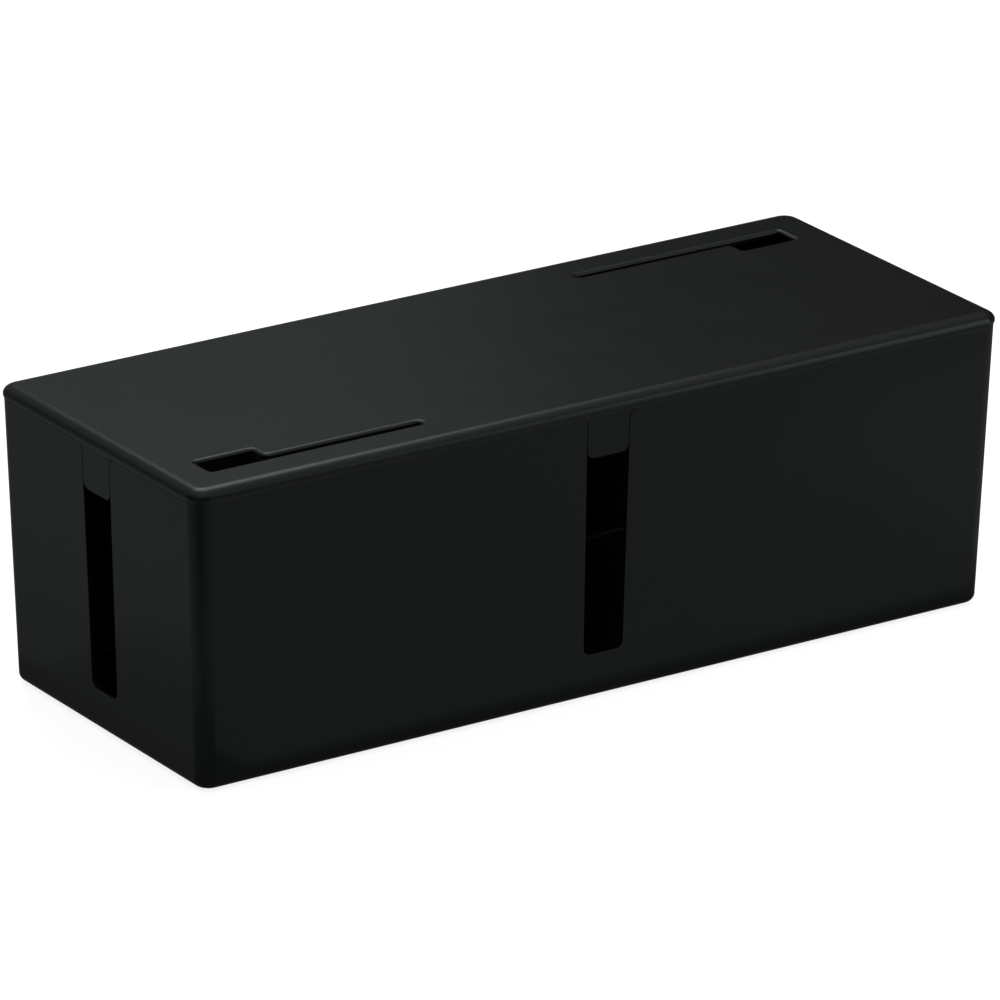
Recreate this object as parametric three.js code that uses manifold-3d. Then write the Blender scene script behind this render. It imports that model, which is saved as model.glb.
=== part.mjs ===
// Cable box: a tapered tub that holds a power strip and its surplus cable, and a lid that lifts off.
// Each wall of the tub has a tall slot for cables. The lid sits on the tub's edge, and a tongue on
// each of its sides closes the top of a slot. The tub stands on four rubber feet.
// Units are millimetres. X runs along the box, Y across it and Z up from the floor it stands on.
import * as THREE from 'three';
import { ConvexGeometry } from 'three/addons/geometries/ConvexGeometry.js';
import { mergeVertices } from 'three/addons/utils/BufferGeometryUtils.js';
import Module from 'manifold-3d';

const wasm = await Module();
wasm.setup();

// Driving dimensions of the whole box
const boxLength = 400;
const boxDepth = 155;
const boxHeight = 132;
const footProud = 1;
const fitGap = 0.3;

// Tub
const wallThickness = 2.5;
const endWallLean = 4.4;
const longWallLean = 2.7;
const topCornerRadius = 7.5;
const bottomCornerRadius = 7;
const bottomEdgeRadius = 3.5;
const floorFillet = 2;

// Lid: a thin top with a rounded rim, and a lip that locates it inside the tub
const rimHeight = 5.8;
const rimOverhang = 0.55;
const rimCrownDrop = 3.9;
const rimCrownReach = 6.2;
const lidThickness = 2.5;
const lipThickness = 1.6;
const lipDepth = 5;
const lipClearance = 0.4;

// Slots in the tub's walls, and the lid's tongues that close their tops. The pair at the ends sits
// lower than the pair in the long walls.
const slotBottomWidth = 19.5;
const slotTopWidth = 21.2;
const slotBottomHeight = 20.4;
const slotCornerRadius = 3.5;
const slotMouthRadius = 3.5;
const tongueBottomHeight = 108;
const tongueCornerRadius = 3.5;
const endSlotDrop = 1.1;

// Openings in the lid's top: a hole for a plug's cable with a narrow slit that runs on from it
const holeEndDistance = 19.6;
const holeLength = 27.5;
const holeWidth = 12.7;
const frontSlitReach = 121.7;
const rearSlitReach = 125.8;
const slitWidth = 3.6;
const openingEdgeDistance = 19.7;
const openingCornerRadius = 1;

// Feet: round pads let into the underside
const footRadius = 6;
const footSeatDepth = 0.8;
const footEndDistance = 24;
const footSideDistance = 20;

// Smoothness of round stretches
const cornerSteps = 6;
const edgeSteps = 4;
const curveSegments = 6;
const footSegments = 24;

// Heights and half sizes worked out from the driving dimensions
const floorUnderside = footProud;
const floorTop = floorUnderside + wallThickness;
const partingHeight = boxHeight - rimHeight;
const lidUnderside = boxHeight - lidThickness;
const topHalfLength = boxLength / 2 - rimOverhang;
const topHalfDepth = boxDepth / 2 - rimOverhang;
const lipInset = wallThickness + lipClearance;
const cutMargin = 5;

const plastic = new THREE.MeshStandardMaterial({ color: 0x272928, roughness: 0.5, metalness: 0 });
const lidPlastic = plastic.clone();
const rubber = new THREE.MeshStandardMaterial({ color: 0x151515, roughness: 0.85, metalness: 0 });

// One rounded rectangle of points at height z
function roundedRing(halfLength, halfDepth, radius, z) {
  const points = [];
  for (let corner = 0; corner < 4; corner += 1) {
    const startAngle = (corner * Math.PI) / 2;
    const signX = corner === 0 || corner === 3 ? 1 : -1;
    const signY = corner < 2 ? 1 : -1;
    for (let step = 0; step <= cornerSteps; step += 1) {
      const angle = startAngle + (step / cornerSteps) * (Math.PI / 2);
      const x = signX * (halfLength - radius) + radius * Math.cos(angle);
      const y = signY * (halfDepth - radius) + radius * Math.sin(angle);
      points.push(new THREE.Vector3(x, y, z));
    }
  }
  return points;
}

// The tub's leaning wall, as a ring at height z, moved inwards by inset
function wallRing(z, inset) {
  const rise = (z - floorUnderside) / (partingHeight - floorUnderside);
  const halfLength = topHalfLength - endWallLean * (1 - rise) - inset;
  const halfDepth = topHalfDepth - longWallLean * (1 - rise) - inset;
  const radius = THREE.MathUtils.lerp(bottomCornerRadius, topCornerRadius, rise) - inset;
  return roundedRing(halfLength, halfDepth, radius, z);
}

// The rim's plan, which is upright, moved outwards by outset
function rimRing(z, outset) {
  return roundedRing(topHalfLength + outset, topHalfDepth + outset, topCornerRadius + outset, z);
}

function solidOf(geometry) {
  const bare = geometry.index ? geometry.toNonIndexed() : geometry.clone();
  bare.deleteAttribute('normal');
  bare.deleteAttribute('uv');
  const merged = mergeVertices(bare, 1e-5);
  const vertProperties = new Float32Array(merged.attributes.position.array);
  const triVerts = new Uint32Array(merged.index.array);
  return new wasm.Manifold(new wasm.Mesh({ numProp: 3, vertProperties, triVerts }));
}

function loft(rings) {
  return solidOf(new ConvexGeometry(rings.flat()));
}

function geometryOf(solid) {
  const mesh = solid.getMesh();
  const geometry = new THREE.BufferGeometry();
  geometry.setAttribute('position', new THREE.BufferAttribute(new Float32Array(mesh.vertProperties), 3));
  geometry.setIndex(new THREE.BufferAttribute(new Uint32Array(mesh.triVerts), 1));
  return geometry;
}

function mesh(name, geometry, material) {
  const result = new THREE.Mesh(geometry, material);
  result.name = name;
  return result;
}

// The tub's outer form from a rounded bottom edge up to the height given
function tubOuter(topZ) {
  const rings = [];
  for (let step = 0; step <= edgeSteps; step += 1) {
    const angle = (step / edgeSteps) * (Math.PI / 2);
    const inset = bottomEdgeRadius * (1 - Math.sin(angle));
    rings.push(wallRing(floorUnderside + bottomEdgeRadius * (1 - Math.cos(angle)), inset));
  }
  rings.push(wallRing(topZ, 0));
  return loft(rings);
}

// The tub's inside with a fillet round its floor
function tubInner(topZ) {
  const rings = [];
  for (let step = 0; step <= edgeSteps; step += 1) {
    const angle = (step / edgeSteps) * (Math.PI / 2);
    const inset = wallThickness + floorFillet * (1 - Math.sin(angle));
    rings.push(wallRing(floorTop + floorFillet * (1 - Math.cos(angle)), inset));
  }
  rings.push(wallRing(topZ, wallThickness));
  return loft(rings);
}

// Half the slot's width at height z, less the clearance given
function slotHalfWidth(z, clearance) {
  const rise = (z - slotBottomHeight) / (partingHeight - slotBottomHeight);
  return THREE.MathUtils.lerp(slotBottomWidth, slotTopWidth, rise) / 2 - clearance;
}

// A U with tapered sides and round bottom corners, whose mouth opens out in two arcs at the tub's edge.
// The slot itself has no clearance, and a tongue has one.
function slotShape(bottomZ, cornerRadius, clearance, topZ) {
  const bottomHalf = slotHalfWidth(bottomZ, clearance);
  const mouthZ = partingHeight - slotMouthRadius;
  const mouthHalf = slotHalfWidth(mouthZ, clearance);
  const flareRadius = slotMouthRadius + clearance;
  const flareCentre = mouthHalf + flareRadius;
  const cornerX = bottomHalf - cornerRadius;
  const cornerZ = bottomZ + cornerRadius;
  const shape = new THREE.Shape();
  shape.moveTo(-cornerX, bottomZ);
  shape.lineTo(cornerX, bottomZ);
  shape.absarc(cornerX, cornerZ, cornerRadius, -Math.PI / 2, 0, false);
  shape.lineTo(mouthHalf, mouthZ);
  shape.absarc(flareCentre, mouthZ, flareRadius, Math.PI, Math.PI / 2, true);
  shape.lineTo(flareCentre, topZ);
  shape.lineTo(-flareCentre, topZ);
  shape.lineTo(-flareCentre, mouthZ + flareRadius);
  shape.absarc(-flareCentre, mouthZ, flareRadius, Math.PI / 2, 0, true);
  shape.lineTo(-bottomHalf, cornerZ);
  shape.absarc(-cornerX, cornerZ, cornerRadius, Math.PI, 1.5 * Math.PI, false);
  return shape;
}

// The shape stood up and drawn across the whole box: along Y for the long walls, along X for the ends
function acrossBox(shape, alongX) {
  const depth = (alongX ? boxLength : boxDepth) + 2 * cutMargin;
  const geometry = new THREE.ExtrudeGeometry(shape, { depth, bevelEnabled: false, curveSegments });
  geometry.translate(0, 0, -depth / 2);
  geometry.rotateX(Math.PI / 2);
  if (alongX) geometry.rotateZ(Math.PI / 2);
  return solidOf(geometry);
}

function roundedRectangle(x0, y0, x1, y1, radius) {
  const shape = new THREE.Shape();
  shape.moveTo(x0 + radius, y0);
  shape.lineTo(x1 - radius, y0);
  shape.absarc(x1 - radius, y0 + radius, radius, -Math.PI / 2, 0, false);
  shape.lineTo(x1, y1 - radius);
  shape.absarc(x1 - radius, y1 - radius, radius, 0, Math.PI / 2, false);
  shape.lineTo(x0 + radius, y1);
  shape.absarc(x0 + radius, y1 - radius, radius, Math.PI / 2, Math.PI, false);
  shape.lineTo(x0, y0 + radius);
  shape.absarc(x0 + radius, y0 + radius, radius, Math.PI, 1.5 * Math.PI, false);
  return shape;
}

// A prism that cuts through the lid's top
function lidCutter(shape, turn) {
  const depth = lidThickness + 2 * cutMargin;
  const geometry = new THREE.ExtrudeGeometry(shape, { depth, bevelEnabled: false, curveSegments });
  geometry.translate(0, 0, lidUnderside - cutMargin);
  geometry.rotateZ(turn);
  return solidOf(geometry);
}

// The hole and its slit share their outer edge. The rear pair is turned half round and has the longer slit.
function lidOpening(slitReach, turn) {
  const endX = -boxLength / 2;
  const outerY = -boxDepth / 2 + openingEdgeDistance;
  const holeX = endX + holeEndDistance;
  const hole = roundedRectangle(holeX, outerY, holeX + holeLength, outerY + holeWidth, openingCornerRadius);
  const slitX = holeX + openingCornerRadius;
  const slit = roundedRectangle(slitX, outerY, endX + slitReach, outerY + slitWidth, openingCornerRadius);
  return lidCutter(hole, turn).add(lidCutter(slit, turn));
}

// The lid's outer form: the rim swells past the wall in a shallow arc, then rolls over into the flat top
function lidOuter() {
  const swellZ = boxHeight - rimCrownDrop;
  const swellRise = swellZ - partingHeight - fitGap;
  const arcAngle = 2 * Math.atan(rimOverhang / swellRise);
  const arcRadius = swellRise / Math.sin(arcAngle);
  const rings = [];
  for (let step = 0; step <= edgeSteps; step += 1) {
    const angle = (1 - step / edgeSteps) * arcAngle;
    const outset = rimOverhang - arcRadius * (1 - Math.cos(angle));
    rings.push(rimRing(swellZ - arcRadius * Math.sin(angle), outset));
  }
  for (let step = 1; step <= edgeSteps; step += 1) {
    const angle = (step / edgeSteps) * (Math.PI / 2);
    const outset = rimOverhang - rimCrownReach * (1 - Math.cos(angle));
    rings.push(rimRing(swellZ + rimCrownDrop * Math.sin(angle), outset));
  }
  return loft(rings);
}

function footSpots() {
  const x = topHalfLength - endWallLean - footEndDistance;
  const y = topHalfDepth - longWallLean - footSideDistance;
  return [
    ['foot_front_left', -x, -y],
    ['foot_front_right', x, -y],
    ['foot_rear_left', -x, y],
    ['foot_rear_right', x, y],
  ];
}

function footDisc(radius, height) {
  const geometry = new THREE.CylinderGeometry(radius, radius, height, footSegments);
  geometry.rotateX(Math.PI / 2);
  geometry.translate(0, 0, height / 2);
  return geometry;
}

function makeTub() {
  let tub = tubOuter(partingHeight).subtract(tubInner(partingHeight + cutMargin));
  const slotTop = partingHeight + cutMargin;
  const slot = slotShape(slotBottomHeight, slotCornerRadius, 0, slotTop);
  const endSlot = slotShape(slotBottomHeight - endSlotDrop, slotCornerRadius, 0, slotTop);
  tub = tub.subtract(acrossBox(slot, false)).subtract(acrossBox(endSlot, true));
  const seat = solidOf(footDisc(footRadius + fitGap, footProud + footSeatDepth));
  for (const [, x, y] of footSpots()) {
    tub = tub.subtract(seat.translate([x, y, 0]));
  }
  return mesh('tub', geometryOf(tub), plastic);
}

function makeLid() {
  const lipBottom = partingHeight - lipDepth;
  const overlap = 1;
  const lipOuter = loft([wallRing(lipBottom, lipInset), wallRing(lidUnderside, lipInset)]);
  const lipInnerInset = lipInset + lipThickness;
  const hollowRings = [wallRing(lipBottom - cutMargin, lipInnerInset), wallRing(lidUnderside, lipInnerInset)];
  const wallShell = tubOuter(partingHeight + overlap).subtract(tubInner(partingHeight + overlap));
  const tongueTop = partingHeight + overlap;
  const tongue = slotShape(tongueBottomHeight, tongueCornerRadius, fitGap, tongueTop);
  const endTongue = slotShape(tongueBottomHeight - endSlotDrop, tongueCornerRadius, fitGap, tongueTop);
  const tongues = acrossBox(tongue, false).add(acrossBox(endTongue, true)).intersect(wallShell);
  let lid = lidOuter().add(lipOuter).subtract(loft(hollowRings)).add(tongues);
  lid = lid.subtract(lidOpening(frontSlitReach, 0)).subtract(lidOpening(rearSlitReach, Math.PI));
  return mesh('lid', geometryOf(lid), lidPlastic);
}

const cableBox = new THREE.Group();
cableBox.add(makeTub());
cableBox.add(makeLid());
for (const [name, x, y] of footSpots()) {
  const foot = mesh(name, footDisc(footRadius, footProud + footSeatDepth), rubber.clone());
  foot.position.set(x, y, 0);
  cableBox.add(foot);
}

export default cableBox;
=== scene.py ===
import math

import bmesh
import bpy
from mathutils import Matrix, Vector


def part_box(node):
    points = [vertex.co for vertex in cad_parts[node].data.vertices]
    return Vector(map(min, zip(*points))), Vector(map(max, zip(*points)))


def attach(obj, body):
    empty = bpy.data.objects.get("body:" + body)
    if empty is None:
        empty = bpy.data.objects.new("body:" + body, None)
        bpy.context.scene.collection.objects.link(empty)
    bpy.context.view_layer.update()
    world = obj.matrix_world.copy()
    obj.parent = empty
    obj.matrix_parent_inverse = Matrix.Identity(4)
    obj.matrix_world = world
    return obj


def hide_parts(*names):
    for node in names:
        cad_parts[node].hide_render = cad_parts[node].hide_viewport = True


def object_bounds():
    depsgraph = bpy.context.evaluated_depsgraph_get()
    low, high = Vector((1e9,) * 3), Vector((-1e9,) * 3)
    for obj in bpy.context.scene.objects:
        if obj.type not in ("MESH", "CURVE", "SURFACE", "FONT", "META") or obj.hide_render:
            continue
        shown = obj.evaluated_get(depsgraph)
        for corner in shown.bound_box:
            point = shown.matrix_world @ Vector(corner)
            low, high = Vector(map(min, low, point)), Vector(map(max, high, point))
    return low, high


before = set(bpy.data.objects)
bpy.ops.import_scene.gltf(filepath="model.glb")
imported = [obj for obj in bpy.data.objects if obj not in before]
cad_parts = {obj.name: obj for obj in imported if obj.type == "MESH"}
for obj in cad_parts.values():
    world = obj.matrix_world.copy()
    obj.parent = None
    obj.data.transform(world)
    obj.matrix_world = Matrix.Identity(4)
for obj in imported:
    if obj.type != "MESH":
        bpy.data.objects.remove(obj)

# The looks of a black cable box: a tub with four cable slots, a lift-off lid and four rubber feet.
# Lengths are in metres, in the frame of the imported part: X along the box, Z up from its feet.

CAD_BOX = [list(corner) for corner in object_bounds()]
MM = 0.001

# Tub
WALL = 2.5 * MM
END_WALL_LEAN = 4.4 * MM
LONG_WALL_LEAN = 2.7 * MM
TOP_CORNER = 7.5 * MM
BOTTOM_CORNER = 7 * MM
BOTTOM_EDGE = 3.5 * MM
FLOOR_FILLET = 2 * MM
EDGE_SOFTNESS = 0.22 * MM

# Lid
RIM_CROWN_DROP = 3.9 * MM
RIM_CROWN_REACH = 6.2 * MM
LID_THICKNESS = 2.5 * MM
LIP_THICKNESS = 1.6 * MM
LIP_DEPTH = 5 * MM
LIP_CLEARANCE = 0.4 * MM
TONGUE_GAP = 0.22 * MM
TONGUE_HEAD = 1.5 * MM
SEAT_GAP = 0.08 * MM

# Slots and tongues
SLOT_BOTTOM_WIDTH = 19.5 * MM
SLOT_TOP_WIDTH = 21.2 * MM
SLOT_BOTTOM = 20.4 * MM
SLOT_CORNER = 3.5 * MM
SLOT_MOUTH = 3.5 * MM
END_SLOT_DROP = 1.1 * MM

# Openings in the lid
HOLE_END_DISTANCE = 19.6 * MM
HOLE_LENGTH = 27.5 * MM
HOLE_WIDTH = 12.7 * MM
FRONT_SLIT_REACH = 121.7 * MM
REAR_SLIT_REACH = 125.8 * MM
SLIT_WIDTH = 3.6 * MM
OPENING_EDGE_DISTANCE = 19.7 * MM
HOLE_CORNER = 1.2 * MM
STEP_CORNER = 3 * MM
SLIT_END_CORNER = 1.62 * MM
MOUTH_REACH = 2.2 * MM
MOUTH_DEPTH = 1.2 * MM

# Smoothness of round stretches
CORNER_STEPS = 20
EDGE_STEPS = 10
OUTLINE_STEPS = 10
BEVEL_STEPS = 4
DISC_STEPS = 64

# Limits for working on edges
CUT_MARGIN = 5 * MM
WELD_DISTANCE = 0.005 * MM
SHARP_ANGLE = math.radians(40)

tub_low, tub_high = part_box("tub")
lid_low, lid_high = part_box("lid")
UNDERSIDE = tub_low.z
PARTING = tub_high.z
LID_TOP = lid_high.z
TONGUE_BOTTOM = lid_low.z + END_SLOT_DROP
TOP_HALF_X = tub_high.x
TOP_HALF_Y = tub_high.y
RIM_OVERHANG = lid_high.x - tub_high.x
FLOOR_TOP = UNDERSIDE + WALL
LID_UNDERSIDE = LID_TOP - LID_THICKNESS
LIP_INSET = WALL + LIP_CLEARANCE


# ---- Mesh helpers ----

def rounded_ring(half_x, half_y, radius, z):
    """Points of a rounded rectangle at height z, anticlockwise from above."""
    points = []
    for corner in range(4):
        sign_x = 1 if corner in (0, 3) else -1
        sign_y = 1 if corner < 2 else -1
        for step in range(CORNER_STEPS + 1):
            angle = (corner + step / CORNER_STEPS) * math.pi / 2
            x = sign_x * (half_x - radius) + radius * math.cos(angle)
            y = sign_y * (half_y - radius) + radius * math.sin(angle)
            points.append(Vector((x, y, z)))
    return points


def wall_rise(z):
    return (z - UNDERSIDE) / (PARTING - UNDERSIDE)


def wall_half_x(z):
    return TOP_HALF_X - END_WALL_LEAN * (1 - wall_rise(z))


def wall_half_y(z):
    return TOP_HALF_Y - LONG_WALL_LEAN * (1 - wall_rise(z))


def wall_ring(z, inset):
    """The tub's leaning wall at height z, moved inwards by inset."""
    radius = BOTTOM_CORNER + (TOP_CORNER - BOTTOM_CORNER) * wall_rise(z)
    return rounded_ring(wall_half_x(z) - inset, wall_half_y(z) - inset, radius - inset, z)


def rim_ring(z, outset):
    """The lid's upright rim at height z, moved outwards by outset from the tub's edge."""
    return rounded_ring(TOP_HALF_X + outset, TOP_HALF_Y + outset, TOP_CORNER + outset, z)


def object_from(name, bm):
    bmesh.ops.recalc_face_normals(bm, faces=bm.faces)
    mesh = bpy.data.meshes.new(name)
    bm.to_mesh(mesh)
    bm.free()
    obj = bpy.data.objects.new(name, mesh)
    bpy.context.scene.collection.objects.link(obj)
    return obj


def lofted(name, rings):
    """A closed body through rings of equal count, with a flat cap on the first and the last."""
    bm = bmesh.new()
    loops = [[bm.verts.new(point) for point in ring] for ring in rings]
    for lower, upper in zip(loops, loops[1:]):
        for i in range(len(lower)):
            j = (i + 1) % len(lower)
            bm.faces.new((lower[i], lower[j], upper[j], upper[i]))
    bm.faces.new(list(reversed(loops[0])))
    bm.faces.new(loops[-1])
    return object_from(name, bm)


def prism(name, outline, place, near, far):
    """A closed body between the depths near and far, whose points place(u, v, depth) gives."""
    ends = [[place(u, v, depth) for u, v in outline] for depth in (near, far)]
    return lofted(name, ends)


def filleted(corners):
    """An outline through (u, v, radius) corners, each rounded by its own radius."""
    outline = []
    for index, (u, v, radius) in enumerate(corners):
        corner = Vector((u, v))
        if radius == 0:
            outline.append((u, v))
            continue
        before = (Vector(corners[index - 1][:2]) - corner).normalized()
        after = (Vector(corners[(index + 1) % len(corners)][:2]) - corner).normalized()
        half_turn = before.angle(after) / 2
        centre = corner + (before + after).normalized() * radius / math.sin(half_turn)
        start = corner + before * radius / math.tan(half_turn) - centre
        end = corner + after * radius / math.tan(half_turn) - centre
        sweep = start.angle_signed(end)
        for step in range(OUTLINE_STEPS + 1):
            angle = -sweep * step / OUTLINE_STEPS
            point = centre + Matrix.Rotation(angle, 2) @ start
            outline.append((point.x, point.y))
    return outline


def combine(target, tools, operation):
    """Joins or cuts the target with each tool in turn, and throws the tools away."""
    for tool in tools:
        modifier = target.modifiers.new(operation, "BOOLEAN")
        modifier.operation = operation
        modifier.solver = "EXACT"
        modifier.object = tool
        bpy.context.view_layer.update()
        graph = bpy.context.evaluated_depsgraph_get()
        mesh = bpy.data.meshes.new_from_object(target.evaluated_get(graph))
        target.modifiers.clear()
        old = target.data
        target.data = mesh
        bpy.data.meshes.remove(old)
        bpy.data.objects.remove(tool)


def soften_edges(obj, width, chosen):
    """Rounds the sharp outward edges that chosen(edge) picks."""
    bm = bmesh.new()
    bm.from_mesh(obj.data)
    bmesh.ops.remove_doubles(bm, verts=bm.verts, dist=WELD_DISTANCE)
    bmesh.ops.dissolve_degenerate(bm, edges=bm.edges, dist=WELD_DISTANCE)
    edges = []
    for edge in bm.edges:
        if len(edge.link_faces) == 2 and edge.calc_face_angle() > SHARP_ANGLE and chosen(edge):
            edges.append(edge)
    bmesh.ops.bevel(
        bm,
        geom=edges,
        offset=width,
        segments=BEVEL_STEPS,
        profile=0.5,
        affect="EDGES",
        clamp_overlap=False,
    )
    bm.to_mesh(obj.data)
    bm.free()


def smooth_shading(obj):
    """Smooth normals, led by the large faces, so that flat walls stay flat beside their round edges."""
    for polygon in obj.data.polygons:
        polygon.use_smooth = True
    obj.data.set_sharp_from_angle(angle=SHARP_ANGLE)
    modifier = obj.modifiers.new("weighted_normals", "WEIGHTED_NORMAL")
    modifier.mode = "FACE_AREA_WITH_ANGLE"
    modifier.weight = 100
    modifier.keep_sharp = True


# ---- Shapes shared by the tub and the lid ----

def slot_half_width(z):
    rise = (z - SLOT_BOTTOM) / (PARTING - SLOT_BOTTOM)
    return (SLOT_BOTTOM_WIDTH + (SLOT_TOP_WIDTH - SLOT_BOTTOM_WIDTH) * rise) / 2


def slot_outline(bottom, clearance, top):
    """A U with tapered sides. Its mouth flares out in two arcs that end level at the tub's edge."""
    low = slot_half_width(bottom) - clearance
    mouth_z = PARTING - SLOT_MOUTH
    mouth = slot_half_width(mouth_z) - clearance
    flare = SLOT_MOUTH + clearance
    right = []
    for step in range(OUTLINE_STEPS + 1):
        angle = step / OUTLINE_STEPS * math.pi / 2
        u = low - SLOT_CORNER * (1 - math.sin(angle))
        right.append((u, bottom + SLOT_CORNER * (1 - math.cos(angle))))
    for step in range(OUTLINE_STEPS + 1):
        angle = step / OUTLINE_STEPS * math.pi / 2
        right.append((mouth + flare * (1 - math.cos(angle)), mouth_z + flare * math.sin(angle)))
    right.append((mouth + flare, top))
    return right + [(-u, v) for u, v in reversed(right)]


def across_long_walls(u, v, depth):
    return Vector((u, depth, v))


def across_end_walls(u, v, depth):
    return Vector((depth, u, v))


# ---- Tub ----

def make_tub():
    rings = []
    for step in range(EDGE_STEPS + 1):
        angle = step / EDGE_STEPS * math.pi / 2
        z = UNDERSIDE + BOTTOM_EDGE * (1 - math.cos(angle))
        rings.append(wall_ring(z, BOTTOM_EDGE * (1 - math.sin(angle))))
    rings.append(wall_ring(PARTING, 0))
    rings.append(wall_ring(PARTING, WALL))
    for step in range(EDGE_STEPS + 1):
        angle = (1 - step / EDGE_STEPS) * math.pi / 2
        z = FLOOR_TOP + FLOOR_FILLET * (1 - math.cos(angle))
        rings.append(wall_ring(z, WALL + FLOOR_FILLET * (1 - math.sin(angle))))
    tub = lofted("cable_box_tub", rings)
    top = PARTING + CUT_MARGIN
    reach_x = TOP_HALF_X + CUT_MARGIN
    reach_y = TOP_HALF_Y + CUT_MARGIN
    long_wall_slot = slot_outline(SLOT_BOTTOM, 0, top)
    end_wall_slot = slot_outline(SLOT_BOTTOM - END_SLOT_DROP, 0, top)
    slots = [
        prism("cut_long_walls", long_wall_slot, across_long_walls, -reach_y, reach_y),
        prism("cut_end_walls", end_wall_slot, across_end_walls, -reach_x, reach_x),
    ]
    combine(tub, slots, "DIFFERENCE")
    soften_edges(tub, EDGE_SOFTNESS, lambda edge: True)
    smooth_shading(tub)
    return tub


# ---- Lid ----

def make_tongue(name, side_x, side_y):
    """One tongue, flush with the leaning wall that it stands in, with its head inside the rim."""
    head = PARTING + TONGUE_HEAD
    drop = END_SLOT_DROP if side_x else 0
    outline = slot_outline(TONGUE_BOTTOM - drop, TONGUE_GAP, head)

    def place(u, v, depth):
        if side_x:
            return Vector((side_x * (wall_half_x(v) - depth), u, v))
        return Vector((u, side_y * (wall_half_y(v) - depth), v))

    tongue = prism(name, outline, place, 0, WALL)
    soften_edges(tongue, EDGE_SOFTNESS, lambda edge: max(vert.co.z for vert in edge.verts) < PARTING)
    return tongue


def opening_outline(slit_reach, flare):
    """The hole and its slit as one outline, which share their outer edge, widened all round by flare."""
    left = -lid_high.x + HOLE_END_DISTANCE - flare
    step = -lid_high.x + HOLE_END_DISTANCE + HOLE_LENGTH + flare
    right = -lid_high.x + slit_reach + flare
    outer = -lid_high.y + OPENING_EDGE_DISTANCE - flare
    slit_inner = -lid_high.y + OPENING_EDGE_DISTANCE + SLIT_WIDTH + flare
    hole_inner = -lid_high.y + OPENING_EDGE_DISTANCE + HOLE_WIDTH + flare
    return filleted([
        (left, outer, HOLE_CORNER + flare),
        (right, outer, SLIT_END_CORNER + flare),
        (right, slit_inner, SLIT_END_CORNER + flare),
        (step, slit_inner, STEP_CORNER - flare),
        (step, hole_inner, HOLE_CORNER + flare),
        (left, hole_inner, HOLE_CORNER + flare),
    ])


def opening_cutter(slit_reach, turn):
    """An opening's cutter, whose mouth flares out to the top face in a soft curve."""
    levels = [(0, LID_UNDERSIDE - CUT_MARGIN)]
    for step in range(EDGE_STEPS + 1):
        angle = step / EDGE_STEPS * math.pi / 2
        flare = MOUTH_REACH * (1 - math.cos(angle))
        levels.append((flare, LID_TOP - MOUTH_DEPTH * (1 - math.sin(angle))))
    levels.append((MOUTH_REACH, LID_TOP + CUT_MARGIN))
    rings = [[Vector((u, v, z)) for u, v in opening_outline(slit_reach, flare)] for flare, z in levels]
    cutter = lofted("cut_opening", rings)
    cutter.data.transform(Matrix.Rotation(turn, 4, "Z"))
    return cutter


def make_lid():
    swell_z = LID_TOP - RIM_CROWN_DROP
    seat_z = PARTING + SEAT_GAP
    turn_in = 2 * math.atan(RIM_OVERHANG / (swell_z - seat_z))
    turn_radius = (swell_z - seat_z) / math.sin(turn_in)
    lip_bottom = PARTING - LIP_DEPTH
    rings = []
    for step in range(2 * EDGE_STEPS + 1):
        angle = (1 - step / (2 * EDGE_STEPS)) * math.pi / 2
        z = swell_z + RIM_CROWN_DROP * math.sin(angle)
        rings.append(rim_ring(z, RIM_OVERHANG - RIM_CROWN_REACH * (1 - math.cos(angle))))
    for step in range(1, EDGE_STEPS + 1):
        angle = step / EDGE_STEPS * turn_in
        z = swell_z - turn_radius * math.sin(angle)
        rings.append(rim_ring(z, RIM_OVERHANG - turn_radius * (1 - math.cos(angle))))
    rings.append(wall_ring(seat_z, LIP_INSET))
    rings.append(wall_ring(lip_bottom, LIP_INSET))
    rings.append(wall_ring(lip_bottom, LIP_INSET + LIP_THICKNESS))
    rings.append(wall_ring(LID_UNDERSIDE, LIP_INSET + LIP_THICKNESS))
    lid = lofted("cable_box_lid", rings)
    openings = [opening_cutter(FRONT_SLIT_REACH, 0), opening_cutter(REAR_SLIT_REACH, math.pi)]
    combine(lid, openings, "DIFFERENCE")
    tongues = [
        make_tongue("tongue_front", 0, -1),
        make_tongue("tongue_rear", 0, 1),
        make_tongue("tongue_left", -1, 0),
        make_tongue("tongue_right", 1, 0),
    ]
    combine(lid, tongues, "UNION")
    smooth_shading(lid)
    return lid


# ---- Feet ----

def make_foot(node):
    """A round pad with a soft lower edge and a shallow dished grip ring."""
    low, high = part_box(node)
    centre = (low + high) / 2
    radius = (high.x - low.x) / 2
    rings = []
    profile = [(0.55, 0.25), (0.62, 0.06), (0.68, 0.0), (0.86, 0.0), (0.95, 0.08), (1.0, 0.3), (1.0, 1.0)]
    for share, rise in profile:
        ring = []
        for step in range(DISC_STEPS):
            angle = step / DISC_STEPS * 2 * math.pi
            x = centre.x + radius * share * math.cos(angle)
            y = centre.y + radius * share * math.sin(angle)
            ring.append(Vector((x, y, low.z + rise * (high.z - low.z))))
        rings.append(ring)
    foot = lofted(f"rubber_{node}", rings)
    smooth_shading(foot)
    return foot


# ---- Materials ----

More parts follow.
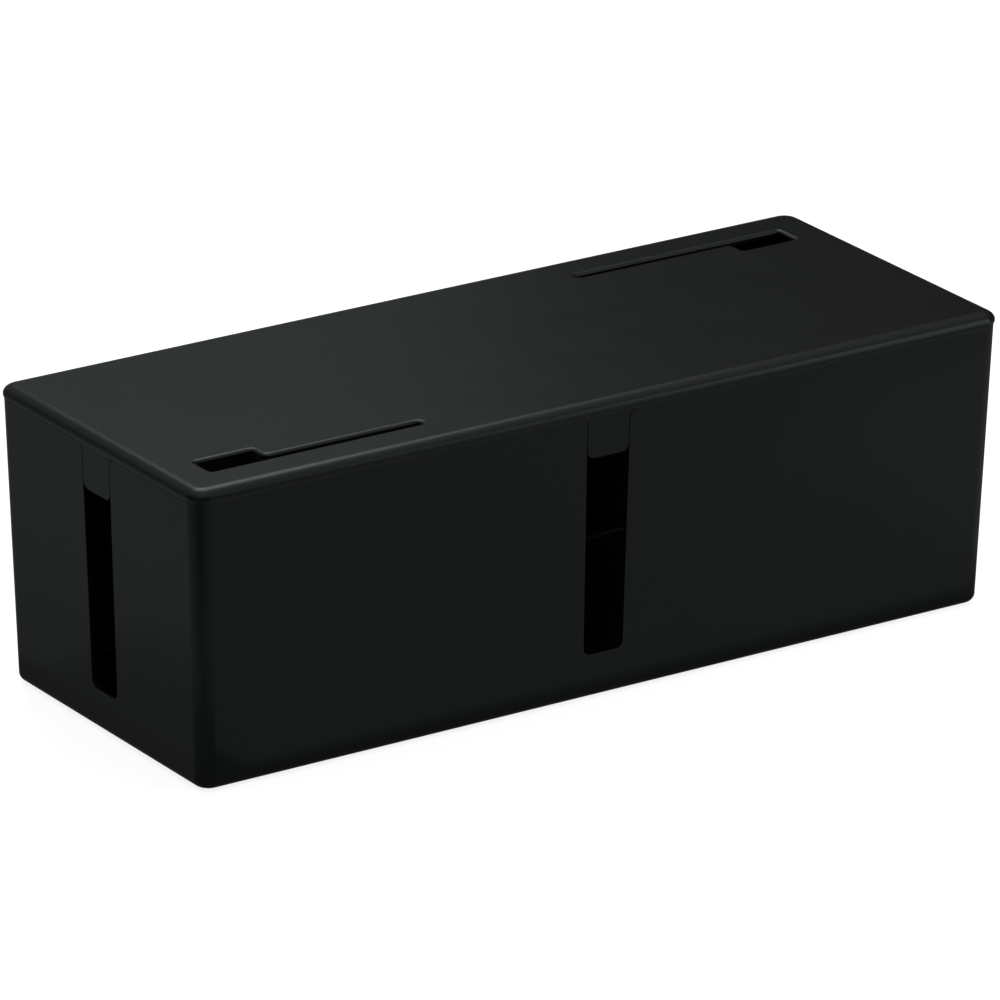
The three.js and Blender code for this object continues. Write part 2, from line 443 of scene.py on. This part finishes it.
class Nodes:
    """A shorthand for building one material's node tree."""

    def __init__(self, name):
        self.material = bpy.data.materials.new(name)
        self.material.use_nodes = True
        self.tree = self.material.node_tree
        self.shader = self.tree.nodes["Principled BSDF"]
        self.place = self.tree.nodes.new("ShaderNodeTexCoord").outputs["Object"]

    def link(self, output, target):
        self.tree.links.new(output, target)

    def noise(self, scale, detail):
        node = self.tree.nodes.new("ShaderNodeTexNoise")
        node.inputs["Scale"].default_value = scale
        node.inputs["Detail"].default_value = detail
        self.link(self.place, node.inputs["Vector"])
        return node.outputs["Fac"]

    def spread(self, value, low, high):
        node = self.tree.nodes.new("ShaderNodeMapRange")
        node.clamp = False
        node.inputs["From Min"].default_value = 0.3
        node.inputs["From Max"].default_value = 0.7
        node.inputs["To Min"].default_value = low
        node.inputs["To Max"].default_value = high
        self.link(value, node.inputs["Value"])
        return node.outputs["Result"]

    def between(self, value, first, second):
        """A mix of two colours, each given as numbers or as another node's output."""
        node = self.tree.nodes.new("ShaderNodeMix")
        node.data_type = "RGBA"
        for socket, color in (("A", first), ("B", second)):
            if isinstance(color, tuple):
                node.inputs[socket].default_value = (*color, 1)
            else:
                self.link(color, node.inputs[socket])
        self.link(value, node.inputs["Factor"])
        return node.outputs["Result"]

    def edge(self, radius):
        """One on a sharp edge, falling to nothing a radius away from it."""
        rounded = self.tree.nodes.new("ShaderNodeBevel")
        rounded.samples = 4
        rounded.inputs["Radius"].default_value = radius
        plain = self.tree.nodes.new("ShaderNodeNewGeometry")
        likeness = self.tree.nodes.new("ShaderNodeVectorMath")
        likeness.operation = "DOT_PRODUCT"
        self.link(rounded.outputs["Normal"], likeness.inputs[0])
        self.link(plain.outputs["Normal"], likeness.inputs[1])
        node = self.tree.nodes.new("ShaderNodeMapRange")
        node.inputs["From Min"].default_value = 1
        node.inputs["From Max"].default_value = 0.9
        self.link(likeness.outputs["Value"], node.inputs["Value"])
        return node.outputs["Result"]

    def times(self, first, second):
        node = self.tree.nodes.new("ShaderNodeMath")
        node.operation = "MULTIPLY"
        self.link(first, node.inputs[0])
        self.link(second, node.inputs[1])
        return node.outputs["Value"]

    def bump(self, height, distance):
        node = self.tree.nodes.new("ShaderNodeBump")
        node.inputs["Distance"].default_value = distance
        self.link(height, node.inputs["Height"])
        return node.outputs["Normal"]


def plastic_material(name):
    """Black moulded plastic: a fine spark-eroded grain, slightly uneven, and rubbed along its edges."""
    nodes = Nodes(name)
    shader = nodes.shader
    cloud = nodes.spread(nodes.noise(14, 3), 0, 1)
    wear = nodes.times(nodes.edge(0.35 * MM), nodes.spread(nodes.noise(260, 4), 0, 1))
    moulded = nodes.between(cloud, (0.0050, 0.0058, 0.0056), (0.0062, 0.0070, 0.0068))
    nodes.link(nodes.between(wear, moulded, (0.012, 0.013, 0.0125)), shader.inputs["Base Color"])
    roughness = nodes.spread(nodes.noise(45, 4), 0.28, 0.31)
    nodes.link(roughness, shader.inputs["Roughness"])
    nodes.link(nodes.bump(nodes.noise(2600, 2), 0.02 * MM), shader.inputs["Normal"])
    shader.inputs["Specular IOR Level"].default_value = 0.5
    shader.inputs["Specular Tint"].default_value = (0.87, 1, 0.96, 1)
    return nodes.material


def rubber_material(name):
    """Soft black rubber, matt and slightly dusty."""
    nodes = Nodes(name)
    shader = nodes.shader
    dust = nodes.noise(400, 4)
    tint = nodes.between(nodes.spread(dust, 0, 1), (0.006, 0.006, 0.006), (0.016, 0.016, 0.015))
    nodes.link(tint, shader.inputs["Base Color"])
    nodes.link(nodes.spread(dust, 0.75, 0.9), shader.inputs["Roughness"])
    nodes.link(nodes.bump(nodes.noise(1800, 3), 0.04 * MM), shader.inputs["Normal"])
    return nodes.material


def floor_material():
    nodes = Nodes("pale_floor")
    shader = nodes.shader
    paper = nodes.noise(3, 2)
    tint = nodes.between(paper, (0.86, 0.86, 0.86), (0.88, 0.88, 0.88))
    nodes.link(tint, shader.inputs["Base Color"])
    shader.inputs["Roughness"].default_value = 0.9
    shader.inputs["Specular IOR Level"].default_value = 0.1
    shader.inputs["Emission Color"].default_value = (1, 1, 1, 1)
    shader.inputs["Emission Strength"].default_value = 0.85
    return nodes.material


# ---- Studio ----

WHITE = (1, 1, 1)
# The faint green tint that the rear and left lights share.
COOL_GREEN = (0.84, 1, 0.97)
FLOOR_CARD_HEIGHT = 4 * MM


def make_floor():
    bm = bmesh.new()
    bmesh.ops.create_circle(bm, cap_ends=True, radius=40, segments=DISC_STEPS)
    floor = object_from("studio_floor", bm)
    floor.data.materials.append(floor_material())
    floor.visible_glossy = False
    floor.visible_diffuse = False


def make_world():
    """A dim room with a thin white horizon that the floor runs out into."""
    world = bpy.data.worlds.new("studio")
    world.use_nodes = True
    tree = world.node_tree
    place = tree.nodes.new("ShaderNodeTexCoord")
    split = tree.nodes.new("ShaderNodeSeparateXYZ")
    ramp = tree.nodes.new("ShaderNodeValToRGB")
    half = tree.nodes.new("ShaderNodeMapRange")
    half.inputs["From Min"].default_value = -1
    tree.links.new(place.outputs["Generated"], split.inputs["Vector"])
    tree.links.new(split.outputs["Z"], half.inputs["Value"])
    tree.links.new(half.outputs["Result"], ramp.inputs["Fac"])
    tree.links.new(ramp.outputs["Color"], tree.nodes["Background"].inputs["Color"])
    below = [(0.0, 0.08), (0.492, 0.095)]
    horizon = [(0.493, 1.0), (0.5, 1.0)]
    above = [(0.501, 0.02), (0.7, 0.03), (0.8, 0.2), (1.0, 0.45)]
    stops = below + horizon + above
    elements = ramp.color_ramp.elements
    while len(elements) < len(stops):
        elements.new(0.5)
    for element, (position, level) in zip(elements, stops):
        element.position = position
        element.color = (level, level, level, 1)
    bpy.context.scene.world = world


def softbox(name, location, aim, width, height, power, color=WHITE):
    data = bpy.data.lights.new(name, "AREA")
    data.shape = "RECTANGLE"
    data.size = width
    data.size_y = height
    data.energy = power
    data.color = color
    light = bpy.data.objects.new(name, data)
    light.location = location
    light.rotation_mode = "QUATERNION"
    light.rotation_quaternion = (Vector(aim) - Vector(location)).to_track_quat("-Z", "Y")
    light.visible_camera = False
    bpy.context.scene.collection.objects.link(light)


def floor_card(name, span_x, span_y, brightness, color=WHITE):
    """A dim card that lies on the floor and stands for the light that a pale table throws back."""
    x = sum(span_x) / 2
    y = sum(span_y) / 2
    width = span_x[1] - span_x[0]
    height = span_y[1] - span_y[0]
    power = brightness * math.pi * width * height
    softbox(name, (x, y, FLOOR_CARD_HEIGHT), (x, y, 1), width, height, power, color)


def make_lights():
    softbox("key_softbox", (0.42, 0.95, 1.4), (0, 0, 0.06), 0.75, 0.7, 3.4)
    softbox("rear_card", (0.22, 1.3, 0.6), (0.22, 0, 0.6), 1.3, 0.7, 0.36, COOL_GREEN)
    softbox("front_right_softbox", (1.25, -1.15, 0.5), (0, 0, 0.08), 0.7, 1.6, 3.7)
    softbox("rear_left_card", (-1.05, 1.3, 0.75), (-0.6, 0, 0.4), 1.2, 1.0, 0.42, COOL_GREEN)
    floor_card("front_floor_card", (-0.17, 0.9), (-0.8, -0.083), 0.105)
    floor_card("corner_floor_card", (-0.3, -0.17), (-0.8, -0.14), 0.09)
    floor_card("near_left_floor_card", (-0.265, -0.205), (-0.135, 0.07), 0.022, COOL_GREEN)
    floor_card("rear_left_floor_card", (-0.265, -0.205), (0.07, 0.8), 0.065, COOL_GREEN)
    floor_card("far_left_floor_card", (-1.2, -0.265), (-0.135, 0.8), 0.1, COOL_GREEN)
    floor_card("rear_floor_card", (-0.2, 0.17), (0.11, 0.8), 0.1)
    floor_card("right_floor_card", (0.23, 0.9), (-0.6, 0.05), 0.06)


def make_camera():
    """The product view: a long lens from the front left, a little above."""
    azimuth = math.radians(-33.95)
    elevation = math.radians(20.97)
    roll = math.radians(0.48)
    distance = 3.903
    middle = (Vector(CAD_BOX[0]) + Vector(CAD_BOX[1])) / 2
    target = middle + Vector((-2.6, -1.24, -1.48)) * MM
    data = bpy.data.cameras.new("camera")
    data.sensor_width = 36
    data.lens = 336.3
    data.clip_start = 0.1
    data.clip_end = 100
    camera = bpy.data.objects.new("camera", data)
    around = Matrix.Rotation(azimuth, 4, "Z")
    tilt = Matrix.Rotation(math.pi / 2 - elevation, 4, "X")
    turn = around @ tilt @ Matrix.Rotation(roll, 4, "Z")
    location = target + turn.to_3x3() @ Vector((0, 0, distance))
    camera.matrix_world = Matrix.Translation(location) @ turn
    bpy.context.scene.collection.objects.link(camera)
    bpy.context.scene.camera = camera


# ---- Assembly ----

def dress(piece, node, body, material):
    piece.data.materials.clear()
    piece.data.materials.append(material)
    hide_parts(node)
    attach(piece, body)


make_camera()
dress(make_tub(), "tub", "tub", plastic_material("tub_black_plastic"))
dress(make_lid(), "lid", "lid", plastic_material("lid_black_plastic"))
rubber = rubber_material("foot_black_rubber")
for foot_node in ("foot_front_left", "foot_front_right", "foot_rear_left", "foot_rear_right"):
    dress(make_foot(foot_node), foot_node, "tub", rubber)
make_floor()
make_world()
make_lights()
bpy.context.scene.view_settings.view_transform = "Standard"
